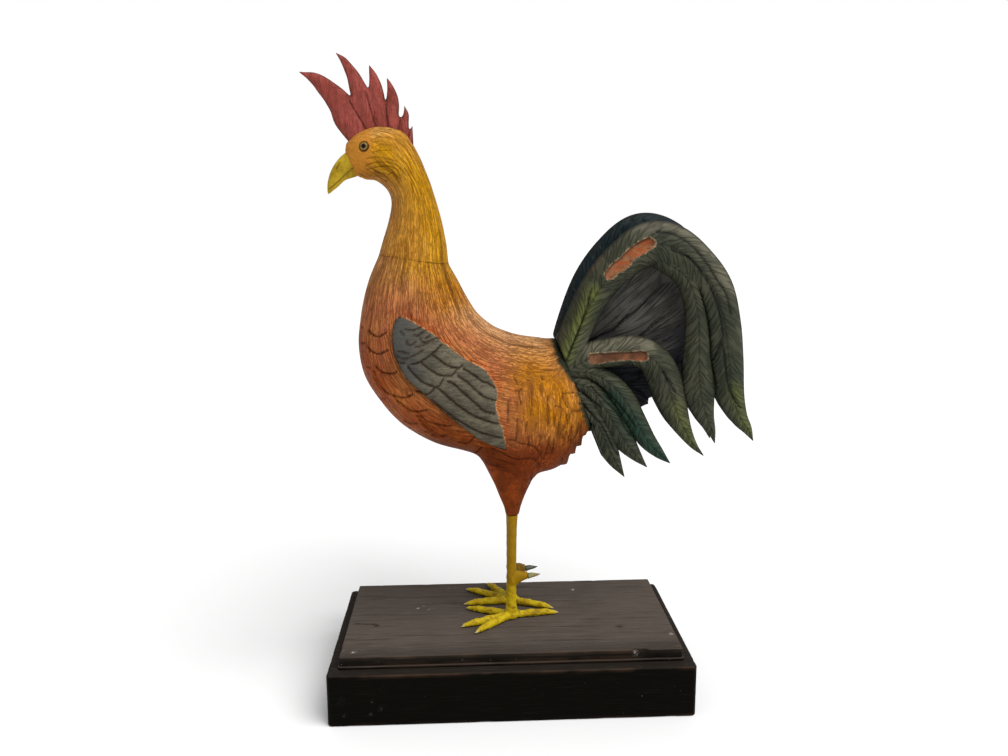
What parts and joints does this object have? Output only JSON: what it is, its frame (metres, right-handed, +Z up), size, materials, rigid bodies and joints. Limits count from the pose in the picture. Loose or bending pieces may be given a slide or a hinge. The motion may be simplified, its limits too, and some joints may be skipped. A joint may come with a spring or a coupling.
{
  "type": "rooster wood carving",
  "caption": "Painted folk carving of a standing rooster with a pointed red comb, a wing in low relief and an arched sickle tail, on a black stepped wooden plinth.",
  "frame": {"origin": "centre of the plinth's underside", "axes": "+Z up, the bird faces -X, and its left side faces -Y"},
  "size_m": [0.491, 0.209, 0.683],
  "materials": {
    "plinth_paint": "worn black paint",
    "body_paint": "orange-brown oil paint over carved wood, with grey-green wings",
    "head_paint": "yellow-ochre oil paint over carved wood, with a yellow-green beak",
    "comb_paint": "dull red paint",
    "fan_paint": "grey-black paint",
    "sickle_paint": "dark olive paint with lime streaks",
    "leg_paint": "yellow paint",
    "horn": "olive horn",
    "eye_glass": "polished, with an olive-brown ring round a dark pupil"
  },
  "bodies": {
    "root": {"plinth_block": "plinth_paint", "plinth_board": "plinth_paint", "body": "body_paint", "head_neck": "head_paint", "comb": "comb_paint", "tail_fan": "fan_paint", "sickles_left": "sickle_paint", "sickles_right": "sickle_paint", "leg_left": "leg_paint", "leg_right": "leg_paint", "spur_left": "horn", "spur_right": "horn", "eye_left": "eye_glass", "eye_right": "eye_glass"}
  },
  "joints": []
}
